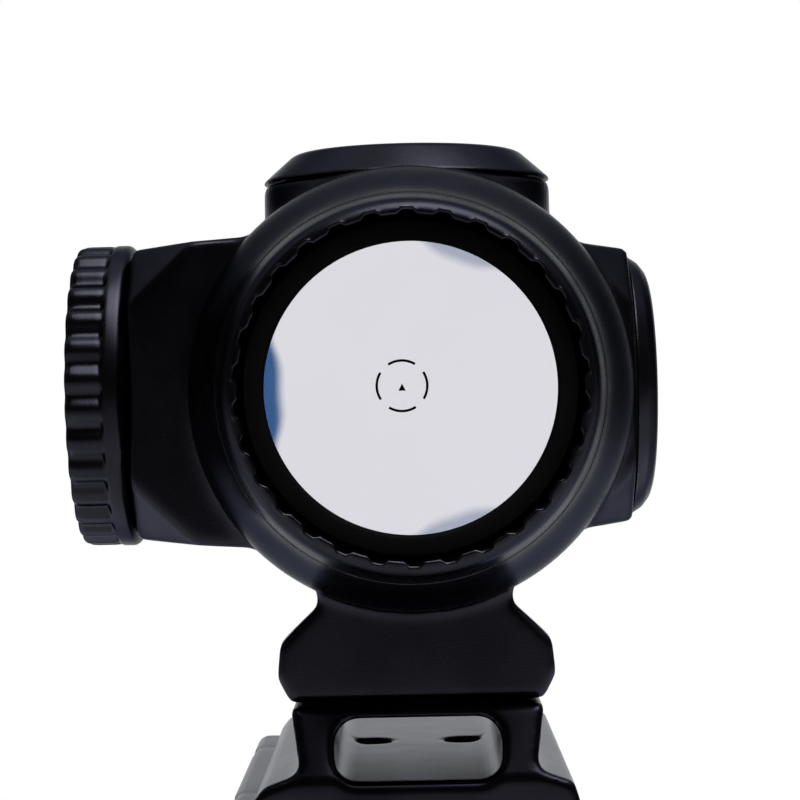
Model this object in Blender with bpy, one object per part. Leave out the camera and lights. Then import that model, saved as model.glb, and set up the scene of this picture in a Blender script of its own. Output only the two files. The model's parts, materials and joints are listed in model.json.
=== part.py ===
"""A compact one-power tube sight on a rail riser, built from its separate pieces.

Metres, +Z up. The origin is the middle of the face that sits on the rail, straight under the turrets.
The optical axis runs along Y at AXIS_HEIGHT, with the eyepiece at -Y and the objective at +Y.
The brightness knob is on the -X side, the windage turret on +X, and the elevation turret on top.
Sizes in the functions are millimetres. A turned outline lists (distance along the axis, radius).
"""

import math

import bmesh
import bpy
from mathutils import Vector

MM = 0.001
WELD = 1e-7
ROUND = 30
MEDIUM = 20
SMALL = 12
SHARP_ANGLE = math.radians(32)

# Driving dimensions, in millimetres.
AXIS_HEIGHT = 40.0
GAP = 0.3
BORE_RADIUS = 17.9
BARREL_RADIUS = 20.7
BARREL_REAR = -14.6
BARREL_FRONT = 20.0
SIGHT_REAR = -33.0
SIGHT_FRONT = 33.0
WINDOW_RADIUS = 12.65
GIMBAL_Y = -12.0
KEY_Y = -22.0
LEAD_Y = 6.0
TUBE_RADIUS = 16.3
TUBE_INSIDE = 15.4
PLATE_RADIUS = 15.1
POCKET_FLOOR = 18.9
POCKET_RADIUS = 10.3
PLUNGER_RADIUS = 1.8
ELEVATION_TOP = 23.3
ELEVATION_BOSS_TOP = 20.1
ELEVATION_BOSS_RADIUS = 14.0
WINDAGE_END = 23.4
WINDAGE_BOSS_END = 21.0
KNOB_BOSS_END = 27.4
KNOB_END = 32.3
KNOB_RADIUS = 14.8
KNOB_RIBS = 30
COLLAR_RADIUS = 12.3
BATTERY_WELL_RADIUS = 11.3
FOOT_BOTTOM = -29.1
CLAMP_REAR = -18.0
CLAMP_FRONT = 32.0
RAIL_HALF_WIDTH = 10.6
JAW_BOTTOM = -6.4
BOLT_Y = (-8.0, 22.0)
BOLT_Z = -1.65
FOOT_SCREW_X = 4.65
FOOT_SCREW_Y = 9.4
FOOT_DOWEL_Y = -8.0

TO_FRONT = Vector((0, 1, 0))
UP = Vector((0, 0, 1))
TO_RIGHT = Vector((1, 0, 0))
TO_LEFT = Vector((-1, 0, 0))
CENTRE = (0.0, 0.0, AXIS_HEIGHT)
GIMBAL_PIVOT = (0.0, GIMBAL_Y, AXIS_HEIGHT)
LEAD_PIVOT = (0.0, LEAD_Y, AXIS_HEIGHT)
DETENT_PIVOT = (0.0, 0.0, AXIS_HEIGHT + 13.35)
MAGNET_PIVOT = (0.0, 0.0, AXIS_HEIGHT - 13.75)
KEY_PIVOT = (0.0, KEY_Y, AXIS_HEIGHT)


def clear_scene():
    for old in list(bpy.data.objects):
        bpy.data.objects.remove(old)


def finish_material(name, colour, roughness, metallic):
    material = bpy.data.materials.new(name)
    material.use_nodes = True
    shader = material.node_tree.nodes["Principled BSDF"]
    shader.inputs["Base Color"].default_value = (*colour, 1.0)
    shader.inputs["Roughness"].default_value = roughness
    shader.inputs["Metallic"].default_value = metallic
    return material


def glass_material(name, colour):
    material = finish_material(name, colour, 0.05, 0.0)
    material.node_tree.nodes["Principled BSDF"].inputs["Transmission Weight"].default_value = 1.0
    return material


def placed(name, mesh, pivot, turn=None):
    obj = bpy.data.objects.new(name, mesh)
    bpy.context.scene.collection.objects.link(obj)
    obj.location = Vector(pivot) * MM
    if turn is not None:
        obj.rotation_mode = "QUATERNION"
        obj.rotation_quaternion = turn
    return obj


def mesh_of(name, shape):
    """The bmesh shape as a closed, outward-facing, smooth-shaded mesh."""
    bmesh.ops.remove_doubles(shape, verts=shape.verts, dist=WELD)
    bmesh.ops.recalc_face_normals(shape, faces=shape.faces)
    mesh = bpy.data.meshes.new(name)
    shape.to_mesh(mesh)
    shape.free()
    mesh.shade_smooth()
    mesh.set_sharp_from_angle(angle=SHARP_ANGLE)
    return mesh


def turned(name, outline, towards, steps=ROUND, pivot=CENTRE):
    """A solid of revolution round the axis that leaves the pivot in the direction towards."""
    shape = bmesh.new()
    corners = [shape.verts.new((radius * MM, 0, along * MM)) for along, radius in outline]
    pairs = list(zip(corners, corners[1:]))
    if outline[0][1] > 0:
        pairs.append((corners[-1], corners[0]))
    edges = [shape.edges.new(pair) for pair in pairs]
    bmesh.ops.spin(
        shape,
        geom=corners + edges,
        cent=(0, 0, 0),
        axis=(0, 0, 1),
        angle=math.tau,
        steps=steps,
        use_merge=True,
    )
    return placed(name, mesh_of(name, shape), pivot, UP.rotation_difference(towards))


def ring(name, start, end, inside, outside, towards, steps=ROUND, pivot=CENTRE):
    outline = [(start, inside), (start, outside), (end, outside), (end, inside)]
    return turned(name, outline, towards, steps, pivot)


def rod(name, start, end, radius, towards, steps=SMALL, pivot=CENTRE):
    return turned(name, [(start, 0), (start, radius), (end, radius), (end, 0)], towards, steps, pivot)


def round_section_ring(name, along, middle, thickness, towards, pivot=CENTRE):
    """A seal: a ring whose section is a circle."""
    corners = 6
    outline = [
        (
            along + thickness / 2 * math.cos(math.tau * i / corners),
            middle + thickness / 2 * math.sin(math.tau * i / corners),
        )
        for i in range(corners)
    ]
    return turned(name, outline, towards, MEDIUM, pivot)


def prism(name, outline, start, end, pivot=CENTRE):
    """The (x, z) outline drawn out along Y from start to end."""
    shape = bmesh.new()
    corners = [shape.verts.new((x * MM, start * MM, z * MM)) for x, z in outline]
    face = shape.faces.new(corners)
    grown = bmesh.ops.extrude_face_region(shape, geom=[face])
    moved = [item for item in grown["geom"] if isinstance(item, bmesh.types.BMVert)]
    bmesh.ops.translate(shape, verts=moved, vec=(0, (end - start) * MM, 0))
    return placed(name, mesh_of(name, shape), pivot)


def block(name, low, high, pivot=CENTRE):
    outline = [(low[0], low[2]), (high[0], low[2]), (high[0], high[2]), (low[0], high[2])]
    return prism(name, outline, low[1], high[1], pivot)


def tube_along(name, points, thickness, pivot=CENTRE):
    """A round wire through the points, with closed ends."""
    curve = bpy.data.curves.new(name, "CURVE")
    curve.dimensions = "3D"
    curve.bevel_depth = thickness / 2 * MM
    curve.bevel_resolution = 0
    curve.use_fill_caps = True
    spline = curve.splines.new("POLY")
    spline.points.add(len(points) - 1)
    for target, point in zip(spline.points, points):
        target.co = (*(Vector(point) * MM), 1.0)
    return placed(name, curve, pivot)


def boolean(body, other, operation):
    other.hide_render = True
    other.display_type = "WIRE"
    modifier = body.modifiers.new(other.name, "BOOLEAN")
    modifier.operation = operation
    modifier.object = other


def join(body, other):
    boolean(body, other, "UNION")


def cut(body, other):
    boolean(body, other, "DIFFERENCE")


def joint_empty(name, pivot):
    """An empty on a joint's axis, which carries the pieces that move together."""
    empty = bpy.data.objects.new(name, None)
    bpy.context.scene.collection.objects.link(empty)
    empty.location = Vector(pivot) * MM
    return empty


def carry(empty, pieces):
    for piece in pieces:
        piece.parent = empty
        piece.location = piece.location - empty.location


def paint(material, pieces):
    for piece in pieces:
        piece.data.materials.append(material)


def faceted_boss(name, side, reach, half_height, half_depth, taper, cut_length, inner):
    """A side boss with a rectangular root, whose corners are cut to an octagon at its outer end."""
    corner = 5.65
    shape = bmesh.new()

    def height_at(x):
        return half_height + (reach - x) * taper

    for x in (inner, reach - cut_length):
        for y in (-half_depth, half_depth):
            for sign in (-1, 1):
                shape.verts.new((side * x * MM, y * MM, sign * height_at(x) * MM))
    for y_sign in (-1, 1):
        for z_sign in (-1, 1):
            for y, z in (
                (half_depth, half_height - corner),
                (half_depth - corner, half_height),
            ):
                shape.verts.new((side * reach * MM, y_sign * y * MM, z_sign * z * MM))
    bmesh.ops.convex_hull(shape, input=shape.verts)
    return placed(name, mesh_of(name, shape), CENTRE)


def foot_solid():
    half = [(9.2, -14.0), (9.2, -20.0), (12.8, -23.8), (13.1, -27.0), (11.55, FOOT_BOTTOM)]
    outline = half + [(-x, z) for x, z in reversed(half)]
    return prism("form_foot", outline, -12.5, 14.0)


def barrel_solid():
    front_radius = 19.9
    outline = [
        (BARREL_REAR, 0),
        (BARREL_REAR, BARREL_RADIUS - 0.5),
        (BARREL_REAR + 0.5, BARREL_RADIUS),
        (13.0, BARREL_RADIUS),
        (15.0, front_radius),
        (BARREL_FRONT, front_radius),
        (BARREL_FRONT, 0),
    ]
    return turned("main_housing", outline, TO_FRONT)


def collar_solid():
    """The tube on the left boss that the knob turns on, with a groove for its snap ring."""
    end = 30.6
    outline = [
        (24.0, 0),
        (24.0, COLLAR_RADIUS),
        (28.7, COLLAR_RADIUS),
        (28.7, 11.9),
        (29.5, 11.9),
        (29.5, COLLAR_RADIUS),
        (end, COLLAR_RADIUS),
        (end, 0),
    ]
    return turned("form_collar", outline, TO_LEFT, MEDIUM)


def main_housing():
    """The body: barrel, top boss, faceted side bosses, knob collar and foot, with all its pockets."""
    body = barrel_solid()
    join(body, rod("form_top_boss", 6, ELEVATION_BOSS_TOP + 2, ELEVATION_BOSS_RADIUS, UP, ROUND))
    join(body, faceted_boss("form_left_boss", -1, KNOB_BOSS_END, 13.8, 14.0, 0.064, 7.4, 8.0))
    join(body, faceted_boss("form_right_boss", 1, WINDAGE_BOSS_END, 13.1, 13.3, 0.08, 5.4, 8.0))
    join(body, collar_solid())
    join(body, foot_solid())
    cut(body, rod("cut_elevation_seat", ELEVATION_BOSS_TOP, 24.0, ELEVATION_BOSS_RADIUS + 0.2, UP, ROUND))
    cut(body, rod("cut_bore", BARREL_REAR - 1, BARREL_FRONT + 1, BORE_RADIUS, TO_FRONT, ROUND))
    for name, towards, mouth in (("elevation", UP, 22.0), ("windage", TO_RIGHT, 22.0)):
        cut(body, rod(f"cut_{name}_pocket", POCKET_FLOOR, mouth, POCKET_RADIUS, towards, MEDIUM))
        cut(body, rod(f"cut_{name}_hole", 15.0, 20.0, PLUNGER_RADIUS + GAP, towards))
        pivot = click_pivot(towards)
        cut(body, rod(f"cut_{name}_click", POCKET_FLOOR - 1.0, 20.0, 0.75, towards, 8, pivot))
    cut(body, rod("cut_battery_well", 20.2, 33.0, BATTERY_WELL_RADIUS, TO_LEFT, ROUND))
    cut(body, rod("cut_lead_hole", 15.0, 22.0, 0.8, TO_LEFT, 9, LEAD_PIVOT))
    cut(body, rod("cut_detent_hole", 25.8, 28.0, 0.65, TO_LEFT, 8, DETENT_PIVOT))
    cut(body, rod("cut_gimbal_holes", -19.6, 19.6, 0.9, TO_RIGHT, 8, GIMBAL_PIVOT))
    for side in (-1, 1):
        screw = (side * FOOT_SCREW_X, FOOT_SCREW_Y, AXIS_HEIGHT)
        dowel = (side * FOOT_SCREW_X, FOOT_DOWEL_Y, AXIS_HEIGHT)
        cut(body, rod(f"cut_foot_screw_{side}", -30.0, -22.0, 1.55, UP, 12, screw))
        cut(body, rod(f"cut_foot_dowel_{side}", -30.0, -25.0, 1.3, UP, 12, dowel))
    return body


def click_pivot(towards):
    """The turret's click ball sits beside the turret's own axis, where the bore curves away from it."""
    offset = 6.5
    if towards == UP:
        return (offset, 0.0, AXIS_HEIGHT)
    return (0.0, 0.0, AXIS_HEIGHT + offset)


def eyepiece_bell():
    """The flared rear bell, which carries the focus ring and guides the eyepiece cell."""
    rear, front = -27.0, BARREL_REAR - GAP
    rear_radius, front_radius = 17.3, 20.5
    steps = 5
    outline = []
    for i in range(steps + 1):
        share = i / steps
        swell = (1 - math.cos(math.pi * share)) / 2
        outline.append((rear + (front - rear) * share, rear_radius + (front_radius - rear_radius) * swell))
    outline += [
        (front, 19.4),
        (front - 0.8, 19.4),
        (front - 0.8, 18.0),
        (front, 18.0),
        (front, 17.6),
        (-14.1, 17.6),
        (-14.1, 15.9),
        (-16.0, 15.5),
        (rear, 15.5),
    ]
    bell = turned("eyepiece_bell", outline, TO_FRONT)
    cut(bell, rod("cut_key_hole", 14.0, 20.0, 1.1, -UP, 8, KEY_PIVOT))
    return bell


def focus_ring():
    """The ring round the window, with a rounded rim."""
    outline = [
        (-27.3, 17.2),
        (-30.2, 16.7),
        (-31.9, 16.3),
        (-32.7, 15.9),
        (SIGHT_REAR, 15.4),
        (-32.7, 14.95),
        (-32.0, 14.75),
        (-27.3, 14.75),
    ]
    return turned("focus_ring", outline, TO_FRONT)


def eyepiece_cell():
    """The sliding cell that holds the eyepiece lens behind a narrow lip."""
    outline = [
        (-31.6, WINDOW_RADIUS),
        (-31.6, 14.4),
        (-26.6, 14.4),
        (-26.6, 15.2),
        (-17.5, 15.2),
        (-17.5, 14.2),
        (-26.0, 14.2),
        (-26.0, 13.6),
        (-30.9, 13.6),
        (-30.9, WINDOW_RADIUS),
    ]
    cell = turned("eyepiece_cell", outline, TO_FRONT)
    cut(cell, block("cut_key_slot", (-1.2, -24.2, -16.0), (1.2, -19.8, -13.0)))
    return cell


def lens(name, rear, front, edge_radius, crown, steps=MEDIUM):
    """A weak lens: its faces bulge by the crown at the middle, and rear and front are its edge planes."""
    rings = 2
    outline = []
    for i in range(rings):
        share = i / rings
        outline.append((rear - crown * (1 - share**2), edge_radius * share))
    outline.append((rear, edge_radius))
    outline.append((front, edge_radius))
    for i in reversed(range(rings)):
        share = i / rings
        outline.append((front + crown * (1 - share**2), edge_radius * share))
    return turned(name, outline, TO_FRONT, steps)


def eyepiece():
    glass = lens("eyepiece_lens", -30.6, -28.2, 13.3, 0.2)
    retainer = ring("eyepiece_retainer", -27.9, -26.8, 12.95, 13.3, TO_FRONT)
    seal = ring("eyepiece_seal", -15.5, -14.75, 18.3, 19.1, TO_FRONT, MEDIUM)
    key = rod("key_screw", 14.3, 17.9, 0.8, -UP, 8, KEY_PIVOT)
    return glass, retainer, seal, key


def gimbal_ring():
    frame = ring("gimbal_ring", GIMBAL_Y - 1.1, GIMBAL_Y + 1.1, 16.6, 17.6, TO_FRONT)
    cut(frame, rod("cut_ring_side_holes", -19, 19, 0.9, TO_RIGHT, 8, GIMBAL_PIVOT))
    cut(frame, rod("cut_ring_upright_holes", -19, 19, 0.9, UP, 8, GIMBAL_PIVOT))
    return frame


def gimbal_pins():
    """Two level pins in the housing and two upright pins in the tube, all through the gimbal ring."""
    radius = 0.6
    return (
        rod("gimbal_pin_left", 16.75, 19.3, radius, TO_LEFT, 8, GIMBAL_PIVOT),
        rod("gimbal_pin_right", 16.75, 19.3, radius, TO_RIGHT, 8, GIMBAL_PIVOT),
        rod("tube_pin_top", 15.7, 17.4, radius, UP, 8, GIMBAL_PIVOT),
        rod("tube_pin_bottom", 15.7, 17.4, radius, -UP, 8, GIMBAL_PIVOT),
    )


def inner_tube():
    """The tilting tube, with the shoulder that the reticle plate seats on and a window for the lamp."""
    outline = [
        (-13.3, TUBE_INSIDE),
        (-13.3, TUBE_RADIUS),
        (12.0, TUBE_RADIUS),
        (12.0, TUBE_INSIDE),
        (-0.1, TUBE_INSIDE),
        (-0.1, 14.75),
        (-0.9, 14.75),
        (-0.9, TUBE_INSIDE),
    ]
    tube = turned("inner_tube", outline, TO_FRONT)
    cut(tube, rod("cut_tube_pin_holes", -18, 18, 0.9, UP, 8, GIMBAL_PIVOT))
    cut(tube, block("cut_lamp_window", (-1.1, 0.0, -17.5), (1.1, 2.0, -15.2)))
    return tube


def reticle():
    plate = rod("reticle_plate", 0.2, 1.8, PLATE_RADIUS, TO_FRONT, ROUND)
    retainer = ring("reticle_retainer", 2.1, 3.1, 14.75, 15.15, TO_FRONT)
    return plate, retainer


def lamp():
    lamp_body = block("led", (-0.8, 0.5, -16.7), (0.8, 1.5, -15.6))
    board = block("led_board", (-2.2, -1.5, -17.3), (2.2, 3.5, -17.0))
    return lamp_body, board


def lamp_lead():
    """The lead from the battery well, through its hole and round the gap outside the tube."""
    route_radius = 17.2
    first, last = math.radians(180), math.radians(252)
    steps = 14
    points = [(-20.1, LEAD_Y, 0.0), (-18.6, LEAD_Y, 0.0)]
    for i in range(steps + 1):
        angle = first + (last - first) * (i + 0.6) / (steps + 0.6)
        points.append((route_radius * math.cos(angle), LEAD_Y, route_radius * math.sin(angle)))
    return tube_along("led_lead", points, 0.4)


def return_spring():
    """A leaf bent to the bore, opposite the two plungers, which presses the tube on to them."""
    first, last = math.radians(200), math.radians(250)
    steps = 12
    angles = [first + (last - first) * i / steps for i in range(steps + 1)]
    outline = [(17.6 * math.cos(a), 17.6 * math.sin(a)) for a in angles]
    outline += [(17.25 * math.cos(a), 17.25 * math.sin(a)) for a in reversed(angles)]
    return prism("return_spring", outline, -4.0, 4.0)


def objective_bezel():
    outline = [
        (17.5, 16.9),
        (17.5, 17.6),
        (20.3, 17.6),
        (20.3, 17.95),
        (21.0, 17.95),
        (21.0, 19.4),
        (20.3, 19.4),
        (20.3, 19.75),
        (24.0, 19.9),
        (31.8, 19.6),
        (32.7, 19.3),
        (SIGHT_FRONT, 18.8),
        (SIGHT_FRONT, 18.3),
        (32.4, 18.0),
        (26.8, 18.0),
        (26.8, 16.9),
    ]
    return turned("objective_bezel", outline, TO_FRONT)


def objective():
    glass = lens("objective_lens", 27.1, 29.2, 17.6, 0.2)
    retainer = ring("objective_retainer", 29.5, 30.6, 16.9, 17.6, TO_FRONT)
    seal = ring("objective_seal", 20.15, 20.85, 18.25, 19.1, TO_FRONT, MEDIUM)
    return glass, retainer, seal


def turret_cap(name, towards, flange_start, end, outer_points):
    """A turret's screwed cap: its outer shape, a hollow for the dial, a spigot and a seal groove."""
    outline = [
        (end, 0),
        *outer_points,
        (flange_start, 12.3),
        (flange_start + 0.35, 12.3),
        (flange_start + 0.35, 10.7),
        (flange_start, 10.7),
        (flange_start, 10.0),
        (flange_start - 1.1, 10.0),
        (flange_start - 1.1, 9.2),
        (flange_start + 0.9, 9.2),
        (flange_start + 0.9, 0),
    ]
    return turned(name, outline, towards, ROUND)


def elevation_cap():
    start = ELEVATION_BOSS_TOP + GAP
    chamfer = [(ELEVATION_TOP, 10.4), (ELEVATION_TOP - 0.25, 10.9), (start + 0.15, 13.75), (start, 13.85)]
    return turret_cap("elevation_cap", UP, start, ELEVATION_TOP, chamfer)


def windage_cap():
    start = WINDAGE_BOSS_END + GAP
    corner = [(WINDAGE_END, 10.3), (WINDAGE_END - 0.3, 11.2), (WINDAGE_END - 1.0, 12.1), (start, 12.8)]
    return turret_cap("windage_cap", TO_RIGHT, start, WINDAGE_END, corner)


def turret_works(name, towards, boss_end):
    """The dial (a nut with a coin slot), its plunger, its click ball and the cap's seal."""
    dial_top = boss_end + 0.9
    outline = [
        (POCKET_FLOOR + GAP, PLUNGER_RADIUS + GAP),
        (POCKET_FLOOR + GAP, 8.8),
        (dial_top, 8.8),
        (dial_top, PLUNGER_RADIUS + GAP),
    ]
    dial = turned(f"{name}_dial", outline, towards, MEDIUM)
    slot_turn = UP.rotation_difference(towards)
    slot = block(f"cut_{name}_slot", (-0.6, -10.0, dial_top - 0.6), (0.6, 10.0, dial_top + 1.0))
    slot.rotation_mode = "QUATERNION"
    slot.rotation_quaternion = slot_turn
    cut(dial, slot)
    plunger = rod(f"{name}_plunger", TUBE_RADIUS + GAP, dial_top - 0.8, PLUNGER_RADIUS, towards)
    ball = ball_solid(f"{name}_click_ball", 0.5, POCKET_FLOOR - GAP, towards, click_pivot(towards))
    seal = ring(f"{name}_seal", boss_end + 0.1, boss_end + 0.55, 11.0, 12.0, towards, MEDIUM)
    return dial, plunger, ball, seal


def ball_solid(name, radius, along, towards, pivot):
    bands = 4
    outline = [
        (along - radius * math.cos(math.pi * i / bands), radius * math.sin(math.pi * i / bands))
        for i in range(bands + 1)
    ]
    outline[0] = (along - radius, 0)
    outline[-1] = (along + radius, 0)
    return turned(name, outline, towards, 8, pivot)


def brightness_knob():
    """A ribbed ring on the collar: ribs on the outer part, a plain shoulder next to the boss."""
    outline = [
        (27.9, 12.6),
        (27.9, 14.3),
        (28.4, KNOB_RADIUS),
        (29.9, KNOB_RADIUS),
        (30.3, KNOB_RADIUS - 0.1),
        (31.6, KNOB_RADIUS - 0.1),
        (KNOB_END, KNOB_RADIUS - 0.8),
        (KNOB_END, 12.3),
        (30.9, 12.2),
        (30.9, 12.6),
        (29.5, 12.6),
        (29.5, 13.4),
        (28.7, 13.4),
        (28.7, 12.6),
    ]
    steps_per_rib = 2
    knob = turned("brightness_knob", outline, TO_LEFT, KNOB_RIBS * steps_per_rib)
    cut_ribs(knob.data, steps_per_rib)
    cut(knob, rod("cut_magnet_pocket", 27.0, 28.55, 0.55, TO_LEFT, 8, MAGNET_PIVOT))
    return knob


def cut_ribs(mesh, steps_per_rib):
    """Moves the outer points of the ribbed band inwards between the ribs."""
    depth = 0.45 * MM
    band_start = 30.1 * MM
    band_inside = 13.5 * MM
    for vertex in mesh.vertices:
        point = vertex.co
        radius = math.hypot(point.x, point.y)
        if point.z < band_start or radius < band_inside:
            continue
        step = round(math.atan2(point.y, point.x) / math.tau * KNOB_RIBS * steps_per_rib)
        if step % steps_per_rib >= steps_per_rib // 2:
            point.x *= (radius - depth) / radius
            point.y *= (radius - depth) / radius


def knob_works():
    snap = ring("knob_snap_ring", 28.85, 29.35, 12.1, 13.1, TO_LEFT, MEDIUM)
    magnet = rod("selector_magnet", 27.95, 28.4, 0.4, TO_LEFT, 8, MAGNET_PIVOT)
    ball = ball_solid("detent_ball", 0.45, 27.35, TO_LEFT, DETENT_PIVOT)
    turns, per_turn = 2, 6
    coil = []
    for i in range(turns * per_turn + 1):
        angle = math.tau * i / per_turn
        x = -(25.98 + 0.42 * i / per_turn)
        coil.append((x, 0.38 * math.cos(angle), 0.38 * math.sin(angle)))
    spring = tube_along("detent_spring", coil, 0.14, DETENT_PIVOT)
    return snap, magnet, ball, spring


def battery_cap():
    """The screwed cap in the middle of the knob, with a coin slot and a plug that reaches the battery."""
    outline = [
        (32.1, 0),
        (32.1, 11.4),
        (31.8, 11.9),
        (31.0, 11.9),
        (31.0, 11.0),
        (28.9, 11.0),
        (28.9, 10.2),
        (26.0, 10.2),
        (26.0, 0),
    ]
    cap = turned("battery_cap", outline, TO_LEFT)
    cut(cap, block("cut_coin_slot", (-33.0, -8.5, -0.9), (-31.1, 8.5, 0.9)))
    return cap


def battery_works():
    seal = round_section_ring("battery_cap_seal", 28.2, 10.75, 0.7, TO_LEFT)
    cell_outline = [(22.4, 0), (22.4, 8.6), (22.6, 9.8), (25.5, 10.0), (25.6, 9.8), (25.6, 0)]
    cell = turned("battery", cell_outline, TO_LEFT)
    board = rod("switch_board", 20.5, 21.2, 10.8, TO_LEFT, MEDIUM)
    turns, per_turn = 3, 8
    coil = []
    for i in range(turns * per_turn + 1):
        angle = math.tau * i / per_turn
        radius = 7.0 - 1.3 * i / per_turn
        coil.append((-(21.45 + 0.2 * i / per_turn), radius * math.cos(angle), radius * math.sin(angle)))
    spring = tube_along("battery_spring", coil, 0.3)
    return seal, cell, board, spring


def rounded_rectangle(half_width, low, high, radius):
    steps = 4
    outline = []
    for corner, (x, z) in enumerate(
        (
            (half_width - radius, high - radius),
            (radius - half_width, high - radius),
            (radius - half_width, low + radius),
            (half_width - radius, low + radius),
        )
    ):
        for i in range(steps + 1):
            angle = math.pi / 2 * (corner + i / steps)
            outline.append((x + radius * math.cos(angle), z + radius * math.sin(angle)))
    return outline


def riser_mount():
    """The bridge between the foot and the rail: a tunnel under its top plate, shoulders, a fixed jaw."""
    top = AXIS_HEIGHT + FOOT_BOTTOM - GAP
    tunnel_low, tunnel_high = 4.0, 9.5
    outline = [
        (-8.2, 0.0),
        (8.0, 0.0),
        (RAIL_HALF_WIDTH + 0.3, -2.9),
        (RAIL_HALF_WIDTH + 0.3, -3.5),
        (8.6, -5.8),
        (8.6, JAW_BOTTOM),
        (13.9, JAW_BOTTOM),
        (14.9, -5.2),
        (14.9, 1.5),
        (14.25, 3.7),
        (11.6, 4.65),
        (10.8, 5.3),
        (11.3, top),
        (-11.3, top),
        (-10.8, 5.3),
        (-11.6, 4.65),
        (-14.25, 3.7),
        (-15.7, 1.9),
        (-8.2, 1.9),
    ]
    mount = prism("riser_mount", outline, CLAMP_REAR, CLAMP_FRONT, (0, 0, 0))
    tunnel = rounded_rectangle(7.75, tunnel_low, tunnel_high, 2.2)
    cut(mount, prism("cut_tunnel", tunnel, CLAMP_REAR - 1, CLAMP_FRONT + 1, (0, 0, 0)))
    cut(mount, lean_cutter("cut_rear_lean", CLAMP_REAR, -1))
    cut(mount, lean_cutter("cut_front_lean", CLAMP_FRONT, 1))
    for side in (-1, 1):
        screw = (side * FOOT_SCREW_X, FOOT_SCREW_Y, 0.0)
        dowel = (side * FOOT_SCREW_X, FOOT_DOWEL_Y, 0.0)
        cut(mount, rod(f"cut_plate_screw_{side}", 8.0, 12.0, 1.55, UP, 12, screw))
        cut(mount, rod(f"cut_access_{side}", -1.0, 5.0, 1.7, UP, SMALL, screw))
        cut(mount, rod(f"cut_plate_dowel_{side}", 8.0, 12.0, 1.3, UP, 12, dowel))
    for y in BOLT_Y:
        cut(mount, rod(f"cut_fixed_jaw_{y:g}", 7.0, 16.0, 1.65, TO_RIGHT, 12, (0.0, y, BOLT_Z)))
        cut(mount, seat_relief(y))
    return mount


def seat_relief(y):
    """A shallow groove across the seat over a clamp bolt, which parts the seat into pads."""
    half, depth = 2.2, 0.6
    return block(f"cut_seat_relief_{y:g}", (-9.5, y - half, -1.0), (8.6, y + half, depth), (0, 0, 0))


def lean_cutter(name, end, side):
    """Trims an end face of the riser's column so that it leans inwards above the shoulders."""
    lean = 3.5
    low, high = 4.2, 12.0
    shape = bmesh.new()
    for x in (-12.5, 12.5):
        for y, z in ((end + side * 2, low), (end + side * 2, high), (end, low), (end - side * lean, high)):
            shape.verts.new((x * MM, y * MM, z * MM))
    bmesh.ops.convex_hull(shape, input=shape.verts)
    return placed(name, mesh_of(name, shape), (0, 0, 0))


def foot_fasteners():
    """Two screws and two dowels, up through the riser's top plate into the foot."""
    found = []
    for label, side in (("left", -1), ("right", 1)):
        x = side * FOOT_SCREW_X
        outline = [(7.7, 0), (7.7, 2.1), (9.2, 2.1), (9.2, 1.25), (17.6, 1.25), (17.6, 0)]
        screw = turned(f"foot_screw_{label}", outline, UP, SMALL, (x, FOOT_SCREW_Y, 0.0))
        socket = rod(f"cut_socket_{label}", 7.0, 8.6, 1.0, UP, 6, (x, FOOT_SCREW_Y, 0.0))
        cut(screw, socket)
        found.append(screw)
        found.append(rod(f"foot_dowel_{label}", 9.8, 14.7, 1.0, UP, 12, (x, FOOT_DOWEL_Y, 0.0)))
    return found


def clamp_jaw():
    outline = [
        (-16.9, 1.6),
        (-17.5, 1.0),
        (-17.5, -5.4),
        (-16.5, JAW_BOTTOM),
        (-8.6, JAW_BOTTOM),
        (-8.6, -5.8),
        (-RAIL_HALF_WIDTH - 0.3, -3.5),
        (-RAIL_HALF_WIDTH - 0.3, -2.9),
        (-8.5, -0.5),
        (-8.5, 1.6),
    ]
    jaw = prism("clamp_jaw", outline, CLAMP_REAR, CLAMP_FRONT, (0, 0, 0))
    for y in BOLT_Y:
        cut(jaw, rod(f"cut_jaw_hole_{y:g}", 7.0, 19.0, 1.65, TO_LEFT, 12, (0.0, y, BOLT_Z)))
        cut(jaw, rod(f"cut_jaw_counterbore_{y:g}", 14.0, 19.0, 2.55, TO_LEFT, SMALL, (0.0, y, BOLT_Z)))
    return jaw


def clamp_bolt(name, y):
    """A socket screw through both jaws, whose shank also fills a slot of the rail."""
    head, shank = 2.25, 1.35
    outline = [(-14.0, 0), (-14.0, shank), (14.3, shank), (14.3, head), (17.2, head), (17.2, 0)]
    bolt = turned(name, outline, TO_LEFT, SMALL, (0.0, y, BOLT_Z))
    cut(bolt, rod(f"cut_{name}_socket", 15.6, 18.0, 1.15, TO_LEFT, 6, (0.0, y, BOLT_Z)))
    return bolt


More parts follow.
